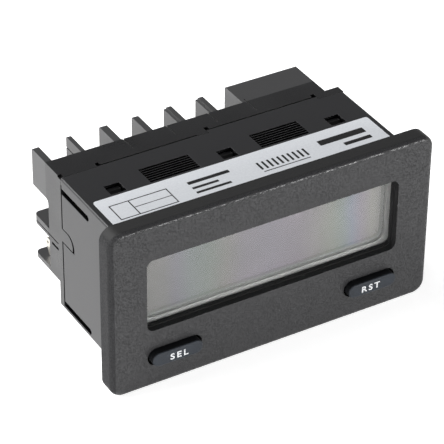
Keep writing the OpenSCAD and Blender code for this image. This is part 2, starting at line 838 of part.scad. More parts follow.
module shelf(z, t) {
    x0 = -case_w / 2;
    from_top(z - t, z) {
        translate([x0, cover_y]) square([hood_x1 - x0, shelf_y - cover_y - shelf_r]);
        translate([x0 + shelf_r, cover_y]) square([hood_x1 - x0 - shelf_r, shelf_y - cover_y]);
        translate([x0 + shelf_r, shelf_y - shelf_r]) circle(shelf_r);
    }
}

// Latch fingers with hooks that catch in the case's windows
module latches() {
    crest_y = latch_hook_l - latch_crest;
    crest_z = latch_t + latch_rise;
    for (x = latch_x, side = [0, 1]) mirror([0, 0, side])
        from_side(x - latch_w / 2, x + latch_w / 2) translate([latch_y, latch_z - latch_t]) {
            square([cover_y + bite - latch_y, latch_t]);
            polygon([[0, 0], [latch_hook_l, 0], [latch_hook_l, crest_z], [crest_y, crest_z]]);
        }
}

// Posts that press the rear board home
module board_posts() {
    for (sx = [-1, 1], z = post_z) translate([sx * (in_w / 2 - post_side), 0, z])
        rod(post_r, input_back, cover_y + bite);
}

// Fine grooves in the roof, on a pitch of their own
module roof_grooves() {
    for (x = roof_groove_x)
        block(x - roof_groove_w / 2, x + roof_groove_w / 2, roof_y - roof_groove_l, roof_y + bite,
            top_z - roof_groove_t, top_z + bite);
}

// Notches in the roof for the case's top tongues, with a relief at each free corner
module tongue_notches() {
    for (t = top_tongues) {
        x0 = t[0] - top_tongue_side;
        x1 = t[1] + top_tongue_side;
        y0 = cover_y - bite;
        y1 = case_l + t[2] + top_tongue_gap;
        block(x0, x1, y0, y1, in_h / 2 - top_tongue_side, top_z + bite);
        block(x0, x0 + relief[0], y0, y1 + relief[1], top_z - relief[2], top_z + bite);
        if (t[1] > 0) block(x1 - relief[0], x1, y0, y1 + relief[1], top_z - relief[2], top_z + bite);
    }
}

// Slits that free the release tab below the middle shelf
module release_slits() {
    x = -case_w / 2;
    z = shelf_z - shelf_t * release_share;
    block(x - bite, x + release_w, release_y, shelf_y + bite, z - release_slit / 2, z + release_slit / 2);
    block(x - bite, x + cover_wall, release_y, release_y + release_slot[0],
        shelf_bottom - release_drop - release_slot[1], shelf_bottom - release_drop);
}

// Room inside the hood, open to the inside of the case below the latch
module hood_room() {
    from_side(hood_x0 + hood_wall, hood_x1 - hood_wall) {
        translate([cover_back, shelf_z]) square([hood_out - hood_wall, top_z - roof_t - shelf_z]);
        translate([cover_y - bite, shelf_z])
            square([cover_t + 2 * bite, latch_z - latch_t - latch_gap - shelf_z]);
    }
}

// Clip-on rear cover: plate, roof with fins, hood, shelves and latches in one moulding
module rear_cover() color("#38383a") difference() {
    union() {
        from_front(cover_y, cover_back) round_rect(case_w, case_h, case_edge_r);
        block(-case_w / 2, hood_x1, cover_y, roof_y, top_z - roof_t, top_z);
        block(hood_x1 - bite, case_w / 2, cover_y, cover_back + right_lip, fin_z, top_z);
        from_side(hood_x0, hood_x1) fin_outline(hood_y, shelf_bottom);
        fins();
        left_wall();
        shelf(shelf_z, shelf_t);
        shelf(low_shelf_z, low_shelf_t);
        latches();
        board_posts();
        for (side = [0, 1]) mirror([side, 0, 0])
            from_side(in_w / 2, case_w / 2) side_tongue_outline(0);
    }
    hood_room();
    for (z = [input_row_z, output_row_z]) at_poles(z)
        from_front(cover_y - bite, cover_back + bite) square(pole + 2 * slack, center = true);
    roof_grooves();
    tongue_notches();
    release_slits();
    block(-case_w / 2 - bite, -case_w / 2 + corner_notch[0], cover_y - bite, cover_y + corner_notch[1],
        top_z - corner_notch[2], top_z + bite);
}

// Printed film label on top of the case
module top_label() color("#d0d3d8") from_top(top_z, top_z + label_t)
    translate([0, label_y - label_d / 2]) round_rect(label_w, label_d, label_r);

front_case();
display_window();
lcd_frame();
lcd_polariser();
lcd_cell();
lcd_reflector();
upper_contact_strip();
lower_contact_strip();
keypad_mat();
sel_key();
rst_key();
sel_contact_pill();
rst_contact_pill();
display_board();
controller_chip();
memory_chip();
timing_crystal();
board_header();
board_socket();
board_spacers();
input_board();
input_chip();
voltage_regulator();
filter_capacitor();
input_terminal_block();
input_terminal_plates();
input_wire_clamps();
input_terminal_screws();
output_terminal_block();
output_terminal_plates();
output_wire_clamps();
output_terminal_screws();
rear_cover();
top_label();
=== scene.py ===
import math

import bmesh
import bpy
from mathutils import Matrix, Vector


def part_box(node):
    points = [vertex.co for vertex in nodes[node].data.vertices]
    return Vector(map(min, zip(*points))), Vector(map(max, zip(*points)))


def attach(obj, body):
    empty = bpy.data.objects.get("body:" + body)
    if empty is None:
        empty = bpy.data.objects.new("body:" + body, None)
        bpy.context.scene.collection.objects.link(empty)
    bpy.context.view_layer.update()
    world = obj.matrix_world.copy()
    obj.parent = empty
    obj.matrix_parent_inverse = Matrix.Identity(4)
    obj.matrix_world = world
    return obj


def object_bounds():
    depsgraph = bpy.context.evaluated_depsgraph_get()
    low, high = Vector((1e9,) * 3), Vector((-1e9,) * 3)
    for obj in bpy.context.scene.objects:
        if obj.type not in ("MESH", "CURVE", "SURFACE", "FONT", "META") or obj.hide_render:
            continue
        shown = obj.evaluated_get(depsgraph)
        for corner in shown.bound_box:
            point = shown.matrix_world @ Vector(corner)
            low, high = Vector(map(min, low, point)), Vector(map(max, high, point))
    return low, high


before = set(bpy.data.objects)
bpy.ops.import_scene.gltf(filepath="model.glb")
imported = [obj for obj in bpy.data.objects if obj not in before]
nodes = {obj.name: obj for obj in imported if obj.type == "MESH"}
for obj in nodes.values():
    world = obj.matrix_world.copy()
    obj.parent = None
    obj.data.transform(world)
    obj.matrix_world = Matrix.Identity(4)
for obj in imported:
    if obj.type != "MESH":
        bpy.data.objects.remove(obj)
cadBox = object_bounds()
scene = bpy.context.scene
scene.view_settings.view_transform = "Standard"
mm = 0.001
white = (1.0, 1.0, 1.0, 1.0)
edgeSamples = 4  # rays that look for an edge to round
print("frame loaded,", len(nodes), "nodes")


def linear(hexText):
    parts = [int(hexText[i:i + 2], 16) / 255 for i in (1, 3, 5)]
    return tuple(c / 12.92 if c <= 0.04045 else ((c + 0.055) / 1.055) ** 2.4 for c in parts) + (1.0,)


def colourStops(places, hexColours):
    return [(place, linear(colour)) for place, colour in zip(places, hexColours)]


# Adds one node. Sockets take a link or a plain value, by name or in their order, and stops fill a colour ramp
def addNode(tree, kind, sockets=(), stops=(), **settings):
    node = tree.nodes.new("ShaderNode" + kind)
    for name, value in settings.items():
        setattr(node, name, value)
    for name, value in sockets.items() if isinstance(sockets, dict) else enumerate(sockets):
        if isinstance(value, bpy.types.NodeSocket):
            tree.links.new(value, node.inputs[name])
        else:
            node.inputs[name].default_value = value
    if stops:
        elements = node.color_ramp.elements
        elements.remove(elements[1])
        elements[0].position, elements[0].color = stops[0]
        for place, colour in stops[1:]:
            elements.new(place).color = colour
    return node


def newMaterial(name):
    material = bpy.data.materials.new(name)
    material.use_nodes = True
    material.node_tree.nodes.clear()
    return material, material.node_tree


def dress(material, *names):
    for name in names:
        for materialSlot in nodes[name].material_slots:
            materialSlot.material = material


# 1 inside a box given by its lowest and highest corner in mm, 0 outside it
def insideBox(tree, place, low, high):
    middle = [(a + b) / 2 * mm for a, b in zip(low, high)]
    half = [(b - a) / 2 * mm for a, b in zip(low, high)]
    offset = addNode(tree, "VectorMath", (place, middle), operation="SUBTRACT").outputs[0]
    size = addNode(tree, "VectorMath", (offset,), operation="ABSOLUTE").outputs[0]
    over = addNode(tree, "VectorMath", (size, half), operation="SUBTRACT").outputs[0]
    axes = addNode(tree, "SeparateXYZ", (over,)).outputs
    pair = addNode(tree, "Math", (axes[0], axes[1]), operation="MAXIMUM").outputs[0]
    most = addNode(tree, "Math", (pair, axes[2]), operation="MAXIMUM").outputs[0]
    return addNode(tree, "Math", (most, 0.0), operation="LESS_THAN").outputs[0]


# Thermoplastic from a mould: the tool's texture gives a fine grain, mass colour varies a little,
# and corners that hands and panels rub are paler
mould = {"grainDetail": 3.0, "grainRoughness": 0.65, "cloudDetail": 4.0, "toneStops": (0.38, 0.64),
         "turnSpan": (0.995, 0.86), "cloudSpan": (0.3, 0.7), "peakSpan": (0.46, 0.58), "smoothRelief": 0.1}


def mouldedPlastic(name, look, paintedShadeBoxes=(), dullEnds=()):
    material, tree = newMaterial(name)
    place = addNode(tree, "TexCoord").outputs["Object"]
    grain = addNode(tree, "TexNoise", {"Vector": place, "Scale": 1 / (look["grain"] * mm),
                                       "Detail": mould["grainDetail"],
                                       "Roughness": mould["grainRoughness"]}).outputs[0]
    cloud = addNode(tree, "TexNoise", {"Vector": place, "Scale": 1 / (look["cloud"] * mm),
                                       "Detail": mould["cloudDetail"]}).outputs[0]
    stops = colourStops(mould["toneStops"], (look["dark"], look["light"]))
    tone = addNode(tree, "ValToRGB", (grain,), stops).outputs[0]
    soft = addNode(tree, "Bevel", {"Radius": look["edge"] * mm}, samples=edgeSamples).outputs[0]
    flat = addNode(tree, "NewGeometry").outputs["Normal"]
    turn = addNode(tree, "VectorMath", (soft, flat), operation="DOT_PRODUCT").outputs["Value"]
    rubbed = addNode(tree, "MapRange", (turn, *mould["turnSpan"], 0.0, look["rubbed"])).outputs[0]
    gloss = addNode(tree, "MapRange", (cloud, *mould["cloudSpan"], *look["rough"])).outputs[0]
    if "glint" in look:  # glossy peaks over matt pits
        peaks = addNode(tree, "MapRange", (grain, *mould["peakSpan"])).outputs[0]
        gloss = addNode(tree, "Mix", {0: peaks, 2: gloss, 3: look["glint"]}).outputs[0]
    strength = look["relief"]
    if "smoothBehind" in look:
        depth = addNode(tree, "SeparateXYZ", (place,)).outputs[1]
        limit = look["smoothBehind"] * mm
        behind = addNode(tree, "Math", (depth, limit), operation="GREATER_THAN").outputs[0]
        smooth = linear(look["smooth"])
        tone = addNode(tree, "Mix", {0: behind, 6: tone, 7: smooth}, data_type="RGBA").outputs[2]
        gloss = addNode(tree, "Mix", {0: behind, 2: gloss, 3: look["smoothRough"]}).outputs[0]
        strength = addNode(tree, "Mix", {0: behind, 2: strength, 3: mould["smoothRelief"]}).outputs[0]
    patchy = addNode(tree, "Math", (rubbed, cloud), operation="MULTIPLY").outputs[0]
    pale = linear(look["pale"])
    colour = addNode(tree, "Mix", {0: patchy, 6: tone, 7: pale}, data_type="RGBA").outputs[2]
    for low, high in dullEnds:
        end = insideBox(tree, place, low, high)
        gloss = addNode(tree, "Mix", {0: end, 2: gloss, 3: look["dull"]}).outputs[0]
    # painted shade: inside each box the colour is painted near-black, with the box's own roughness
    for low, high, polish in paintedShadeBoxes:
        paintedShade = insideBox(tree, place, low, high)
        black = linear(look["paintedShade"])
        colour = addNode(tree, "Mix", {0: paintedShade, 6: colour, 7: black}, data_type="RGBA").outputs[2]
        gloss = addNode(tree, "Mix", {0: paintedShade, 2: gloss, 3: polish}).outputs[0]
    relief = addNode(tree, "Bump", {"Height": grain, "Strength": strength, "Distance": look["depth"] * mm,
                                    "Normal": soft}).outputs[0]
    skin = addNode(tree, "BsdfPrincipled", {"Base Color": colour, "Roughness": gloss, "Normal": relief,
                                            "IOR": look["ior"],
                                            "Specular IOR Level": look["specular"]}).outputs[0]
    addNode(tree, "OutputMaterial", (skin,))
    return material


# ABS from a spark-eroded mould: matt dark grey, with a fine sandy grain that sparkles along the rounded edge.
# The real grain is about 0.1 mm and is drawn three times coarser so that it shows. Behind the bezel the mould
# is smooth. The window's recess, the key holes, all that lies below the outer skin and the bezel's top are
# painted near-black as painted shade, rough in the recess and holes, smoother below the skin. The bezel's
# ends are blasted and duller.
caseLook = {"dark": "#08080a", "light": "#303032", "pale": "#58585a", "paintedShade": "#060607", "grain": 0.34,
            "cloud": 7.0, "edge": 0.08, "rubbed": 0.3, "rough": (0.65, 0.75), "glint": 0.13, "dull": 0.85,
            "ior": 1.53, "specular": 0.5, "relief": 1.0, "depth": 0.045, "smoothBehind": 0.02,
            "smooth": "#262628", "smoothRough": 0.34}
# Boxes of painted shade on the case, in mm, each with its roughness
windowRecess = ((-29.4, -3.9, -5.95), (29.4, -1.4, 11.45), 0.9)
selHole = ((-29.4, -3.9, -14.4), (-16.8, -1.4, -10.1), 0.9)
rstHole = ((16.8, -3.9, -14.4), (29.4, -1.4, -10.1), 0.9)
belowSkin = ((-33.38, 0.2, -16.08), (33.38, 60.0, 15.4), 0.25)
belowRoof = ((-32.5, 0.2, 15.3), (32.5, 60.0, 16.18), 0.25)
bezelTop = ((-40.0, -3.2, 18.4), (40.0, 0.02, 25.0), 0.65)
caseShadeBoxes = [windowRecess, selHole, rstHole, belowSkin, belowRoof, bezelTop]
leftEnd = ((-40.0, -4.2, -25.0), (-36.5, 0.02, 25.0))
rightEnd = ((36.9, -4.2, -25.0), (40.0, 0.02, 25.0))
upperLeftCorner = ((-40.0, -3.85, 15.6), (-34.2, 0.02, 25.0))
bezelEnds = [leftEnd, rightEnd, upperLeftCorner]
dress(mouldedPlastic("ABS spark-eroded", caseLook, caseShadeBoxes, bezelEnds), "front_case")

# ABS from a finer mould face: smoother than the bezel, with a paler, satin rear half
coverLook = {"dark": "#1a1a1c", "light": "#282829", "pale": "#5c5c5c", "paintedShade": "#060607", "grain": 0.3,
             "cloud": 9.0, "edge": 0.05, "rubbed": 0.1, "rough": (0.27, 0.35), "ior": 1.53, "specular": 0.5,
             "relief": 0.25, "depth": 0.03, "smoothBehind": 30.45, "smooth": "#414142", "smoothRough": 0.33}
# Boxes of painted shade inside the cover, in mm, each with its roughness
insideCase = ((-33.38, 5.0, -16.08), (33.38, 23.75, 16.08), 0.3)
underRoof = ((-33.38, 23.7, 13.9), (33.38, 30.35, 16.19), 0.3)
tongueSlot = ((-33.38, 25.5, -2.7), (-31.9, 28.6, -1.9), 0.3)
shelfGap = ((-33.38, 25.5, -1.0), (-20.0, 36.6, -0.68), 0.3)
coverShadeBoxes = [insideCase, underRoof, tongueSlot, shelfGap]
dress(mouldedPlastic("ABS satin moulded", coverLook, coverShadeBoxes), "rear_cover")

# PBT with glass fibre: dry, slightly mottled black of terminal blocks and connectors
blockLook = {"dark": "#202022", "light": "#2f2f31", "pale": "#565656", "grain": 0.5, "cloud": 5.0,
             "edge": 0.12, "rubbed": 0.5, "rough": (0.45, 0.6), "ior": 1.55, "specular": 0.4, "relief": 0.25,
             "depth": 0.03}
dress(mouldedPlastic("PBT glass-filled", blockLook), "input_terminal_block", "output_terminal_block",
      "board_header", "board_socket")

# Polycarbonate pigmented grey: even, silky frame around the display
frameLook = {"dark": "#a19e9a", "light": "#a9a6a3", "pale": "#b0adaa", "grain": 0.4, "cloud": 8.0,
             "edge": 0.1, "rubbed": 0.1, "rough": (0.42, 0.5), "ior": 1.58, "specular": 0.4, "relief": 0.12,
             "depth": 0.02}
dress(mouldedPlastic("polycarbonate grey", frameLook), "lcd_frame")

# Nylon in its natural cream, with the soft, even shine of wax
nylonLook = {"dark": "#d8d4c6", "light": "#e4e1d6", "pale": "#f0eee6", "grain": 0.8, "cloud": 6.0,
             "edge": 0.1, "rubbed": 0.2, "rough": (0.4, 0.5), "ior": 1.53, "specular": 0.4, "relief": 0.1,
             "depth": 0.02}
dress(mouldedPlastic("nylon natural", nylonLook), "board_spacers")
print("moulded plastics done")

# Silicone rubber, compression moulded: soft dull black-blue with a little dust in its pores
rubber = {"poreDetail": 4.0, "dustDetail": 6.0, "dustRoughness": 0.7, "toneStops": (0.35, 0.62, 0.78),
          "dustSpan": (0.3, 0.7), "flank": (0.1, 0.45), "edge": 0.12, "relief": 0.2, "depth": 0.02,
          "ior": 1.41, "specular": 0.45}


def siliconeRubber(name, look, faceAt=None):
    material, tree = newMaterial(name)
    place = addNode(tree, "TexCoord").outputs["Object"]
    pores = addNode(tree, "TexNoise", {"Vector": place, "Scale": 1 / (look["pore"] * mm),
                                       "Detail": rubber["poreDetail"]}).outputs[0]
    dust = addNode(tree, "TexNoise", {"Vector": place, "Scale": 1 / (look["dust"] * mm),
                                      "Detail": rubber["dustDetail"],
                                      "Roughness": rubber["dustRoughness"]}).outputs[0]
    stops = colourStops(rubber["toneStops"], (look["dark"], look["light"], look["dusty"]))
    tone = addNode(tree, "ValToRGB", (dust,), stops).outputs[0]
    # painted shade: behind the key's face the colour turns to the darker side colour
    if faceAt is not None:
        depth = addNode(tree, "SeparateXYZ", (place,)).outputs[1]
        flank = [faceAt + step * mm for step in rubber["flank"]]
        share = addNode(tree, "MapRange", (depth, *flank)).outputs[0]
        side = linear(look["side"])
        tone = addNode(tree, "Mix", {0: share, 6: tone, 7: side}, data_type="RGBA").outputs[2]
    soft = addNode(tree, "Bevel", {"Radius": rubber["edge"] * mm}, samples=edgeSamples).outputs[0]
    relief = addNode(tree, "Bump", {"Height": pores, "Strength": rubber["relief"],
                                    "Distance": rubber["depth"] * mm, "Normal": soft}).outputs[0]
    gloss = addNode(tree, "MapRange", (dust, *rubber["dustSpan"], *look["rough"])).outputs[0]
    skin = addNode(tree, "BsdfPrincipled", {"Base Color": tone, "Roughness": gloss, "Normal": relief,
                                            "IOR": rubber["ior"],
                                            "Specular IOR Level": rubber["specular"]}).outputs[0]
    addNode(tree, "OutputMaterial", (skin,))
    return material


# The keys' flanks are painted darker than their faces: painted shade
keyLook = {"dark": "#262a30", "light": "#2f343b", "dusty": "#43474e", "side": "#0d0f12", "pore": 0.25,
           "dust": 1.2, "rough": (0.5, 0.62)}
dress(siliconeRubber("silicone keys", keyLook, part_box("sel_key")[0].y), "sel_key", "rst_key")
matLook = {"dark": "#23262a", "light": "#2c3034", "dusty": "#3a3d40", "pore": 0.4, "dust": 2.0,
           "rough": (0.55, 0.7)}
dress(siliconeRubber("silicone sheet", matLook), "keypad_mat")
# Carbon in the rubber makes the pills a flat soot black
pillLook = {"dark": "#121212", "light": "#1b1b1b", "dusty": "#2a2a2a", "pore": 0.2, "dust": 0.4,
            "rough": (0.6, 0.75)}
dress(siliconeRubber("silicone carbon-filled", pillLook), "sel_contact_pill", "rst_contact_pill")

# Layered elastomer: pink-grey silicone with black conducting layers across the strip.
# The real layers are 0.1 mm apart and are drawn at 0.25 mm so that they show.
stripLook = {"rubber": "#b7a4a6", "layer": "#3a3436", "pitch": 0.25, "change": (0.1, 0.15), "rough": 0.6,
             "ior": 1.41}
material, tree = newMaterial("silicone layered strip")
place = addNode(tree, "TexCoord").outputs["Object"]
across = addNode(tree, "SeparateXYZ", (place,)).outputs[0]
layers = addNode(tree, "Math", (across, stripLook["pitch"] * mm), operation="PINGPONG").outputs[0]
share = addNode(tree, "MapRange", (layers, *[step * mm for step in stripLook["change"]])).outputs[0]
colour = addNode(tree, "Mix", {0: share, 6: linear(stripLook["rubber"]), 7: linear(stripLook["layer"])},
                 data_type="RGBA").outputs[2]
skin = addNode(tree, "BsdfPrincipled", {"Base Color": colour, "Roughness": stripLook["rough"],
                                        "IOR": stripLook["ior"]}).outputs[0]
addNode(tree, "OutputMaterial", (skin,))
dress(material, "upper_contact_strip", "lower_contact_strip")
print("rubbers done")

# Cast acrylic, polished: clear, with a sharp reflection and a faint film of handling; lamps shine through it
windowLook = {"smear": "#e6e9ea", "tint": "#f1f3f4", "stops": (0.35, 0.6), "reach": 14.0, "detail": 3.0,
              "rough": 0.0, "ior": 1.49}
material, tree = newMaterial("acrylic clear")
place = addNode(tree, "TexCoord").outputs["Object"]
smear = addNode(tree, "TexNoise", {"Vector": place, "Scale": 1 / (windowLook["reach"] * mm),
                                   "Detail": windowLook["detail"]}).outputs[0]
stops = colourStops(windowLook["stops"], (windowLook["smear"], windowLook["tint"]))
colour = addNode(tree, "ValToRGB", (smear,), stops).outputs[0]
pane = addNode(tree, "BsdfPrincipled", {"Base Color": colour, "Roughness": windowLook["rough"],
                                        "IOR": windowLook["ior"], "Transmission Weight": 1.0}).outputs[0]
clear = addNode(tree, "BsdfTransparent", (linear(windowLook["tint"]),)).outputs[0]
shadowRay = addNode(tree, "LightPath").outputs["Is Shadow Ray"]
both = addNode(tree, "MixShader", (shadowRay, pane, clear)).outputs[0]
addNode(tree, "OutputMaterial", (both,))
dress(material, "display_window")

# Polarising film, laminated: neutral grey with the faint stretched-film colour bands that run up and down.
# Bands are a few mm wide, as the photo shows them towards the right.
filmLook = {"reach": 27.6, "wander": 9.0, "wanderDetail": 1.0, "drift": 1.2, "rough": 0.32, "ior": 1.5,
            "specular": 0.3,
            "bands": [(0.0, "#696560"), (0.08, "#696562"), (0.13, "#676268"), (0.18, "#646765"),
                      (0.26, "#676a63"), (0.33, "#6d6863"), (0.4, "#6c6569"), (0.52, "#6c656b"),
                      (0.64, "#6f666b"), (0.73, "#706b68"), (0.79, "#707067"), (0.83, "#6b706a"),
                      (0.87, "#6b6e78"), (0.91, "#736a71"), (0.96, "#736f68"), (1.0, "#716e6a")]}
reach = filmLook["reach"] * mm
drift = filmLook["drift"] * mm
material, tree = newMaterial("polarising film")
place = addNode(tree, "TexCoord").outputs["Object"]
across = addNode(tree, "SeparateXYZ", (place,)).outputs[0]
wander = addNode(tree, "TexNoise", {"Vector": place, "Scale": 1 / (filmLook["wander"] * mm),
                                    "Detail": filmLook["wanderDetail"]}).outputs[0]
sway = addNode(tree, "MapRange", (wander, 0.0, 1.0, -drift, drift)).outputs[0]
shifted = addNode(tree, "Math", (across, sway), operation="ADD").outputs[0]
share = addNode(tree, "MapRange", (shifted, -reach, reach)).outputs[0]
colour = addNode(tree, "ValToRGB", (share,), colourStops(*zip(*filmLook["bands"]))).outputs[0]
skin = addNode(tree, "BsdfPrincipled", {"Base Color": colour, "Roughness": filmLook["rough"],
                                        "IOR": filmLook["ior"],
                                        "Specular IOR Level": filmLook["specular"]}).outputs[0]
addNode(tree, "OutputMaterial", (skin,))
dress(material, "lcd_polariser")

# Float glass, ground edges: smoky with the tint of its depth and the grey seal round its border
glassLook = {"tint": "#93928e", "wave": 5.0, "waveDetail": 2.0, "frost": (0.1, 0.2), "ior": 1.52,
             "clear": 0.25}
material, tree = newMaterial("float glass")
place = addNode(tree, "TexCoord").outputs["Object"]
wave = addNode(tree, "TexNoise", {"Vector": place, "Scale": 1 / (glassLook["wave"] * mm),
                                  "Detail": glassLook["waveDetail"]}).outputs[0]
frost = addNode(tree, "MapRange", (wave, 0.0, 1.0, *glassLook["frost"])).outputs[0]
skin = addNode(tree, "BsdfPrincipled", {"Base Color": linear(glassLook["tint"]), "Roughness": frost,
                                        "IOR": glassLook["ior"],
                                        "Transmission Weight": glassLook["clear"]}).outputs[0]
addNode(tree, "OutputMaterial", (skin,))
dress(material, "lcd_cell")
print("display done")

# Metal sheet, wire or bar: its colour is in its reflection, and drawing or rolling leaves fine lines one way
metal = {"lineDetail": 3.0, "stainDetail": 4.0, "toneStops": (0.35, 0.65), "lineSpan": (0.3, 0.7),
         "edge": 0.08, "relief": 0.15, "depth": 0.01}


def workedMetal(name, look):
    material, tree = newMaterial(name)
    place = addNode(tree, "TexCoord").outputs["Object"]
    run = addNode(tree, "Mapping", {"Vector": place, "Scale": look["stretch"]}).outputs[0]
    lines = addNode(tree, "TexNoise", {"Vector": run, "Scale": 1 / (look["line"] * mm),
                                       "Detail": metal["lineDetail"]}).outputs[0]
    stain = addNode(tree, "TexNoise", {"Vector": place, "Scale": 1 / (look["stain"] * mm),
                                       "Detail": metal["stainDetail"]}).outputs[0]
    stops = colourStops(metal["toneStops"], (look["dark"], look["light"]))
    tone = addNode(tree, "ValToRGB", (stain,), stops).outputs[0]
    gloss = addNode(tree, "MapRange", (lines, *metal["lineSpan"], *look["rough"])).outputs[0]
    soft = addNode(tree, "Bevel", {"Radius": metal["edge"] * mm}, samples=edgeSamples).outputs[0]
    relief = addNode(tree, "Bump", {"Height": lines, "Strength": metal["relief"],
                                    "Distance": metal["depth"] * mm, "Normal": soft}).outputs[0]
    skin = addNode(tree, "BsdfPrincipled", {"Base Color": tone, "Metallic": 1.0, "Roughness": gloss,
                                            "Normal": relief}).outputs[0]
    addNode(tree, "OutputMaterial", (skin,))
    return material


# Steel, zinc plated and yellow passivated: olive gold that shifts a little from head to head
screwLook = {"dark": "#a08f58", "light": "#bdae74", "stretch": (1.0, 4.0, 1.0), "line": 0.15, "stain": 2.5,
             "rough": (0.28, 0.42)}
dress(workedMetal("steel yellow zinc", screwLook), "input_terminal_screws", "output_terminal_screws",
      "input_wire_clamps")
# Steel, nickel plated: bright, faintly warm
clampLook = {"dark": "#cfcac0", "light": "#e2dfd6", "stretch": (1.0, 1.0, 5.0), "line": 0.12, "stain": 2.0,
             "rough": (0.22, 0.35)}
dress(workedMetal("steel bright nickel", clampLook), "output_wire_clamps")
# Brass, tinned: pale grey over yellow
plateLook = {"dark": "#b9b196", "light": "#cfcabb", "stretch": (1.0, 3.0, 1.0), "line": 0.15, "stain": 1.5,
             "rough": (0.3, 0.45)}
dress(workedMetal("brass tinned", plateLook), "input_terminal_plates", "output_terminal_plates")
# Nickel silver, deep drawn: bright can with fine draw lines
canLook = {"dark": "#bcbec0", "light": "#d2d3d4", "stretch": (1.0, 0.2, 1.0), "line": 0.1, "stain": 3.0,
           "rough": (0.2, 0.32)}
dress(workedMetal("nickel silver drawn", canLook), "timing_crystal")
# Polyester film, aluminised: a soft, slightly wavy mirror
mirrorLook = {"dark": "#c2c4c2", "light": "#cfd1cf", "stretch": (0.3, 1.0, 1.0), "line": 1.5, "stain": 6.0,
              "rough": (0.3, 0.4)}
dress(workedMetal("polyester aluminised", mirrorLook), "lcd_reflector")
print("metals done")

# Glass-epoxy laminate under green solder resist: paler tracks over copper on the faces, straw-coloured sawn
# edges. Track width, run and row are in pitches.
boardLook = {"resist": "#1d5a38", "track": "#2f7a4c", "edge": "#a8985c", "pitch": 2.54, "width": 0.16,
             "blur": 0.1, "run": 3.0, "row": 0.5, "facing": 0.7, "relief": 0.3, "depth": 0.04, "rough": 0.35,
             "ior": 1.55}
material, tree = newMaterial("glass-epoxy solder resist")
place = addNode(tree, "TexCoord").outputs["Object"]
turned = addNode(tree, "Mapping", {"Vector": place, "Rotation": (math.radians(90), 0.0, 0.0),
                                   "Scale": (1 / (boardLook["pitch"] * mm),) * 3}).outputs[0]
tracks = addNode(tree, "TexBrick", {"Vector": turned, "Scale": 1.0, "Mortar Size": boardLook["width"] / 2,
                                    "Mortar Smooth": boardLook["blur"], "Brick Width": boardLook["run"],
                                    "Row Height": boardLook["row"]}).outputs["Fac"]
colour = addNode(tree, "Mix", {0: tracks, 6: linear(boardLook["resist"]), 7: linear(boardLook["track"])},
                 data_type="RGBA").outputs[2]
normal = addNode(tree, "NewGeometry").outputs["Normal"]
facing = addNode(tree, "SeparateXYZ", (normal,)).outputs[1]
eitherWay = addNode(tree, "Math", (facing,), operation="ABSOLUTE").outputs[0]
onFace = addNode(tree, "Math", (eitherWay, boardLook["facing"]), operation="GREATER_THAN").outputs[0]
colour = addNode(tree, "Mix", {0: onFace, 6: linear(boardLook["edge"]), 7: colour},
                 data_type="RGBA").outputs[2]
relief = addNode(tree, "Bump", {"Height": tracks, "Strength": boardLook["relief"],
                                "Distance": boardLook["depth"] * mm}).outputs[0]
skin = addNode(tree, "BsdfPrincipled", {"Base Color": colour, "Roughness": boardLook["rough"],
                                        "IOR": boardLook["ior"], "Normal": relief}).outputs[0]
addNode(tree, "OutputMaterial", (skin,))
dress(material, "display_board", "input_board")

# Epoxy mould compound, matt: nearly black with a fine filler speckle; the leads beside it are tinned copper
chipLook = {"dark": "#161617", "light": "#252526", "lead": "#c9cacb", "speck": 0.15, "speckDetail": 2.0,
            "toneStops": (0.35, 0.7), "rough": 0.62, "leadRough": 0.3, "relief": 0.2, "depth": 0.02,
            "ior": 1.55}
smallLeads = {"reach": 0.4, "axis": 2}  # leads stick out by this many mm at both ends of the axis
longLeads = {"reach": 2.2, "axis": 0}


def chipEpoxy(node, leadLook):
    low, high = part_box(node)
    axis = leadLook["axis"]
    middle = (low[axis] + high[axis]) / 2
    bodyHalf = (high[axis] - low[axis]) / 2 - leadLook["reach"] * mm
    material, tree = newMaterial("epoxy " + node.replace("_", " "))
    place = addNode(tree, "TexCoord").outputs["Object"]
    speck = addNode(tree, "TexNoise", {"Vector": place, "Scale": 1 / (chipLook["speck"] * mm),
                                       "Detail": chipLook["speckDetail"]}).outputs[0]
    stops = colourStops(chipLook["toneStops"], (chipLook["dark"], chipLook["light"]))
    tone = addNode(tree, "ValToRGB", (speck,), stops).outputs[0]
    along = addNode(tree, "SeparateXYZ", (place,)).outputs[axis]
    offset = addNode(tree, "Math", (along, middle), operation="SUBTRACT").outputs[0]
    away = addNode(tree, "Math", (offset,), operation="ABSOLUTE").outputs[0]
    leads = addNode(tree, "Math", (away, bodyHalf), operation="GREATER_THAN").outputs[0]
    tinned = linear(chipLook["lead"])
    colour = addNode(tree, "Mix", {0: leads, 6: tone, 7: tinned}, data_type="RGBA").outputs[2]
    gloss = addNode(tree, "MapRange", (leads, 0.0, 1.0, chipLook["rough"], chipLook["leadRough"])).outputs[0]
    relief = addNode(tree, "Bump", {"Height": speck, "Strength": chipLook["relief"],
                                    "Distance": chipLook["depth"] * mm}).outputs[0]
    skin = addNode(tree, "BsdfPrincipled", {"Base Color": colour, "Metallic": leads, "Roughness": gloss,
                                            "IOR": chipLook["ior"], "Normal": relief}).outputs[0]
    addNode(tree, "OutputMaterial", (skin,))
    dress(material, node)


for chipName in ("controller_chip", "memory_chip", "input_chip"):
    chipEpoxy(chipName, smallLeads)
chipEpoxy("voltage_regulator", longLeads)

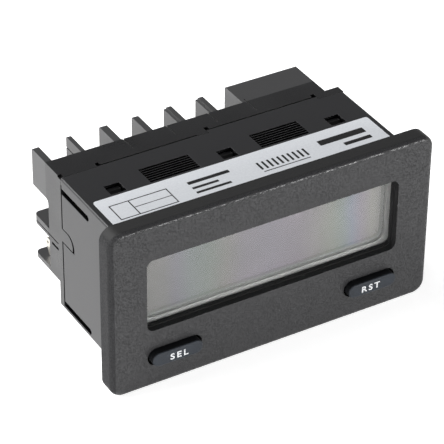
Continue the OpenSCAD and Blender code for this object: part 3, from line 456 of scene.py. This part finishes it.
# PVC sleeve shrunk over an aluminium can: satin blue with a pale stripe, bare metal at the end
sleeveLook = {"sleeve": "#31415e", "stripe": "#b9bec6", "metal": "#c6c8ca", "stripeWidth": 1.2, "end": 0.05,
              "crinkle": 1.5, "crinkleDetail": 2.0, "relief": 0.15, "depth": 0.05, "rough": 0.38, "ior": 1.53}
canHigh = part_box("filter_capacitor")[1]
stripeFrom = canHigh.x - sleeveLook["stripeWidth"] * mm
endFrom = canHigh.y - sleeveLook["end"] * mm
material, tree = newMaterial("PVC sleeve shrunk")
place = addNode(tree, "TexCoord").outputs["Object"]
axes = addNode(tree, "SeparateXYZ", (place,)).outputs
beside = addNode(tree, "Math", (axes[0], stripeFrom), operation="GREATER_THAN").outputs[0]
ending = addNode(tree, "Math", (axes[1], endFrom), operation="GREATER_THAN").outputs[0]
crinkle = addNode(tree, "TexNoise", {"Vector": place, "Scale": 1 / (sleeveLook["crinkle"] * mm),
                                     "Detail": sleeveLook["crinkleDetail"]}).outputs[0]
colour = addNode(tree, "Mix", {0: beside, 6: linear(sleeveLook["sleeve"]), 7: linear(sleeveLook["stripe"])},
                 data_type="RGBA").outputs[2]
colour = addNode(tree, "Mix", {0: ending, 6: colour, 7: linear(sleeveLook["metal"])},
                 data_type="RGBA").outputs[2]
relief = addNode(tree, "Bump", {"Height": crinkle, "Strength": sleeveLook["relief"],
                                "Distance": sleeveLook["depth"] * mm}).outputs[0]
skin = addNode(tree, "BsdfPrincipled", {"Base Color": colour, "Metallic": ending,
                                        "Roughness": sleeveLook["rough"], "IOR": sleeveLook["ior"],
                                        "Normal": relief}).outputs[0]
addNode(tree, "OutputMaterial", (skin,))
dress(material, "filter_capacitor")
print("boards and what they carry done")

# Polyester film, white top-coated: cool white with a soft sheen and slight waviness from the adhesive
labelLook = {"dark": "#d9dce1", "light": "#e2e5e9", "stops": (0.3, 0.7), "wave": 5.0, "waveDetail": 2.0,
             "fibre": 0.4, "fibreDetail": 3.0, "relief": 0.15, "depth": 0.05, "rough": 0.45, "ior": 1.57,
             "specular": 0.35}
material, tree = newMaterial("polyester label white")
place = addNode(tree, "TexCoord").outputs["Object"]
wave = addNode(tree, "TexNoise", {"Vector": place, "Scale": 1 / (labelLook["wave"] * mm),
                                  "Detail": labelLook["waveDetail"]}).outputs[0]
fibre = addNode(tree, "TexNoise", {"Vector": place, "Scale": 1 / (labelLook["fibre"] * mm),
                                   "Detail": labelLook["fibreDetail"]}).outputs[0]
stops = colourStops(labelLook["stops"], (labelLook["dark"], labelLook["light"]))
colour = addNode(tree, "ValToRGB", (fibre,), stops).outputs[0]
relief = addNode(tree, "Bump", {"Height": wave, "Strength": labelLook["relief"],
                                "Distance": labelLook["depth"] * mm}).outputs[0]
skin = addNode(tree, "BsdfPrincipled", {"Base Color": colour, "Roughness": labelLook["rough"],
                                        "IOR": labelLook["ior"], "Normal": relief,
                                        "Specular IOR Level": labelLook["specular"]}).outputs[0]
addNode(tree, "OutputMaterial", (skin,))
dress(material, "top_label")

# Screen-printed ink: opaque and a little uneven where the mesh left less of it
inkLook = {"mesh": 0.2, "meshDetail": 2.0, "stops": (0.3, 0.7), "rough": 0.5, "ior": 1.5, "specular": 0.3}


def printedInk(name, dark, light):
    material, tree = newMaterial(name)
    place = addNode(tree, "TexCoord").outputs["Object"]
    mesh = addNode(tree, "TexNoise", {"Vector": place, "Scale": 1 / (inkLook["mesh"] * mm),
                                      "Detail": inkLook["meshDetail"]}).outputs[0]
    colour = addNode(tree, "ValToRGB", (mesh,), colourStops(inkLook["stops"], (dark, light))).outputs[0]
    skin = addNode(tree, "BsdfPrincipled", {"Base Color": colour, "Roughness": inkLook["rough"],
                                            "IOR": inkLook["ior"],
                                            "Specular IOR Level": inkLook["specular"]}).outputs[0]
    addNode(tree, "OutputMaterial", (skin,))
    return material


whiteInk = printedInk("ink white", "#e6e8ea", "#f6f7f8")
blackInk = printedInk("ink black", "#141415", "#222223")


def addPiece(name, mesh, material, body):
    piece = bpy.data.objects.new(name, mesh)
    scene.collection.objects.link(piece)
    mesh.materials.append(material)
    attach(piece, body)


# Key legends, bold and wide, a hair proud of the rubber; places are in mm from the middle of the key
legends = [{"words": "SEL", "node": "sel_key", "body": "sel_button", "place": (0.2, -0.1), "width": 4.1},
           {"words": "RST", "node": "rst_key", "body": "rst_button", "place": (-0.45, -0.05), "width": 4.4}]
legendLook = {"height": 1.5, "bold": 0.026, "spacing": 1.4, "curve": 6, "proud": 0.012, "sunk": 0.03}
for legend in legends:
    low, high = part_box(legend["node"])
    words = bpy.data.curves.new(legend["words"].lower() + "Words", "FONT")
    words.body = legend["words"]
    words.offset = legendLook["bold"]
    words.space_character = legendLook["spacing"]
    words.extrude = 0.5  # any depth will do, the loop below sets the ink's own
    words.resolution_u = legendLook["curve"]
    draft = bpy.data.objects.new("draft", words)
    scene.collection.objects.link(draft)
    bpy.context.view_layer.update()
    mesh = bpy.data.meshes.new_from_object(draft.evaluated_get(bpy.context.evaluated_depsgraph_get()))
    bpy.data.objects.remove(draft)
    xs = [v.co.x for v in mesh.vertices]
    ys = [v.co.y for v in mesh.vertices]
    wide, tall = max(xs) - min(xs), max(ys) - min(ys)
    middle = Vector(((low.x + high.x) / 2 + legend["place"][0] * mm, low.y,
                     (low.z + high.z) / 2 + legend["place"][1] * mm))
    for v in mesh.vertices:
        across = (v.co.x - (max(xs) + min(xs)) / 2) / wide * legend["width"] * mm
        up = (v.co.y - (max(ys) + min(ys)) / 2) / tall * legendLook["height"] * mm
        depth = -legendLook["proud"] * mm if v.co.z > 0 else legendLook["sunk"] * mm
        v.co = (middle.x + across, middle.y + depth, middle.z + up)
    mesh.materials.clear()
    addPiece(legend["words"].lower() + "Legend", mesh, whiteInk, legend["body"])

# Label print: plain bars, ruled lines, a row of ticks and an empty frame, in mm from the label's left front
# corner. Each patch is given by its left, right, front and rear side.
labelPrint = {"bars": [(19.5, 29.0, 6.4, 7.4), (19.5, 25.5, 4.6, 5.3), (19.5, 27.5, 2.9, 3.6),
                       (50.0, 61.0, 5.6, 7.4), (54.5, 61.0, 3.2, 4.3)],
              "lines": [(6.2, 6.45, 2.2, 7.6), (6.4, 15.0, 4.8, 5.0), (35.0, 46.0, 3.0, 3.25)],
              "ticks": {"count": 10, "first": 35.0, "pitch": 1.2, "width": 0.5, "front": 3.9, "rear": 6.6},
              "frames": [(2.0, 15.0, 2.2, 7.6)], "line": 0.25, "corner": 0.12, "ink": 0.012, "sunk": 0.002}
low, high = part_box("top_label")
made = bmesh.new()


def inkPatch(x0, x1, y0, y1):
    corner = min(labelPrint["corner"], (x1 - x0) / 4, (y1 - y0) / 4)
    centres = [(x1 - corner, y1 - corner, 0), (x0 + corner, y1 - corner, 90),
               (x0 + corner, y0 + corner, 180), (x1 - corner, y0 + corner, 270)]
    rim = []
    for cx, cy, start in centres:
        for step in (0, 45, 90):
            a = math.radians(start + step)
            rim.append((low.x + (cx + corner * math.cos(a)) * mm, low.y + (cy + corner * math.sin(a)) * mm))
    bottom = [made.verts.new((x, y, high.z - labelPrint["sunk"] * mm)) for x, y in rim]
    top = [made.verts.new((x, y, high.z + labelPrint["ink"] * mm)) for x, y in rim]
    made.faces.new(top)
    made.faces.new(bottom[::-1])
    for i in range(len(rim)):
        j = (i + 1) % len(rim)
        made.faces.new((bottom[i], bottom[j], top[j], top[i]))


for bar in labelPrint["bars"] + labelPrint["lines"]:
    inkPatch(*bar)
ticks = labelPrint["ticks"]
for i in range(ticks["count"]):
    left = ticks["first"] + ticks["pitch"] * i
    inkPatch(left, left + ticks["width"], ticks["front"], ticks["rear"])
for x0, x1, y0, y1 in labelPrint["frames"]:
    t = labelPrint["line"]
    inkPatch(x0, x1, y0, y0 + t)
    inkPatch(x0, x1, y1 - t, y1)
    inkPatch(x0, x0 + t, y0, y1)
    inkPatch(x1 - t, x1, y0, y1)
mesh = bpy.data.meshes.new("labelPrint")
made.to_mesh(mesh)
made.free()
addPiece("labelPrint", mesh, blackInk, "counter")
print("legends and label print done")

# Studio: pale floor that keeps the shadow, white surroundings under a dim ceiling, a large lamp behind on the
# left and smaller ones in front. Floor sizes are in m, its drop and fibre in mm.
studio = {"floor": ("#ececec", "#f2f2f2"), "fibreStops": (0.3, 0.7), "fibre": 2.0, "fibreDetail": 2.0,
          "floorReach": 3.0, "floorSquares": 8, "floorDrop": 0.2, "floorGlow": 0.72, "worldLight": 0.28,
          "wallTop": 0.12, "ceilingFrom": 0.4, "ceiling": 0.12}


# 1 for rays that reach the eye straight, by a mirror or through glass, 0 for those that only carry light
def seenByEye(tree):
    path = addNode(tree, "LightPath").outputs
    seen = addNode(tree, "Math", (path["Is Camera Ray"], path["Is Glossy Ray"]),
                   operation="MAXIMUM").outputs[0]
    return addNode(tree, "Math", (seen, path["Is Transmission Ray"]), operation="MAXIMUM").outputs[0]


floorMesh = bpy.data.meshes.new("floor")
made = bmesh.new()
bmesh.ops.create_grid(made, x_segments=studio["floorSquares"], y_segments=studio["floorSquares"],
                      size=studio["floorReach"])
made.to_mesh(floorMesh)
made.free()
floor = bpy.data.objects.new("floor", floorMesh)
floor.location.z = cadBox[0].z - studio["floorDrop"] * mm
scene.collection.objects.link(floor)
# Paper sweep, matt white: the camera and mirrors see it white, with the shadow left in
material, tree = newMaterial("paper sweep")
place = addNode(tree, "TexCoord").outputs["Object"]
fibre = addNode(tree, "TexNoise", {"Vector": place, "Scale": 1 / (studio["fibre"] * mm),
                                   "Detail": studio["fibreDetail"]}).outputs[0]
colour = addNode(tree, "ValToRGB", (fibre,), colourStops(studio["fibreStops"], studio["floor"])).outputs[0]
paper = addNode(tree, "BsdfDiffuse", (colour,)).outputs[0]
glow = addNode(tree, "Emission", (white, studio["floorGlow"])).outputs[0]
lifted = addNode(tree, "AddShader", (paper, glow)).outputs[0]
both = addNode(tree, "MixShader", (seenByEye(tree), paper, lifted)).outputs[0]
addNode(tree, "OutputMaterial", (both,))
floorMesh.materials.append(material)

world = bpy.data.worlds.new("studio")
scene.world = world
world.use_nodes = True
tree = world.node_tree
tree.nodes.clear()
direction = addNode(tree, "TexCoord").outputs["Generated"]
height = addNode(tree, "SeparateXYZ", (direction,)).outputs[2]
dim = (studio["ceiling"],) * 3 + (1.0,)
stops = [(studio["wallTop"], white), (studio["ceilingFrom"], dim)]
walls = addNode(tree, "ValToRGB", (height,), stops).outputs[0]
level = addNode(tree, "MapRange", (seenByEye(tree), 0.0, 1.0, studio["worldLight"], 1.0)).outputs[0]
sky = addNode(tree, "Background", (walls, level)).outputs[0]
addNode(tree, "OutputWorld", (sky,))

lamps = [{"name": "rearSoftbox", "place": (-0.68, 0.6, 0.95), "size": (1.2, 1.0), "power": 22.8},
         {"name": "frontFill", "place": (-0.85, -0.85, 0.22), "size": (1.2, 0.36), "power": 7.0},
         {"name": "edgeSpark", "place": (0.29, -0.555, 0.15), "size": (0.34, 0.1), "power": 2.1}]
lampTarget = Vector((0.0, 0.015, 0.0))
for lamp in lamps:
    light = bpy.data.lights.new(lamp["name"], "AREA")
    light.shape = "RECTANGLE"
    light.size, light.size_y = lamp["size"]
    light.energy = lamp["power"]
    lampObject = bpy.data.objects.new(lamp["name"], light)
    lampObject.location = lamp["place"]
    lampObject.rotation_euler = (lampTarget - Vector(lamp["place"])).to_track_quat("-Z", "Y").to_euler()
    scene.collection.objects.link(lampObject)

# Camera at the photograph's viewing angle
view = {"place": (-0.21157, -0.336977, 0.281637), "right": (0.861648, -0.50742, 0.00937),
        "up": (0.280674, 0.491831, 0.824211), "lens": 196.07, "sensor": 36.0, "shift": (0.00073, -0.00095),
        "clip": (0.02, 20.0)}
camera = bpy.data.cameras.new("camera")
camera.lens = view["lens"]
camera.sensor_width = view["sensor"]
camera.shift_x, camera.shift_y = view["shift"]
camera.clip_start, camera.clip_end = view["clip"]
cameraObject = bpy.data.objects.new("camera", camera)
right, up = Vector(view["right"]).normalized(), Vector(view["up"]).normalized()
turn = Matrix((right, up, right.cross(up))).transposed()
cameraObject.rotation_euler = turn.to_euler()
cameraObject.location = view["place"]
scene.collection.objects.link(cameraObject)
scene.camera = cameraObject
print("studio and camera done")
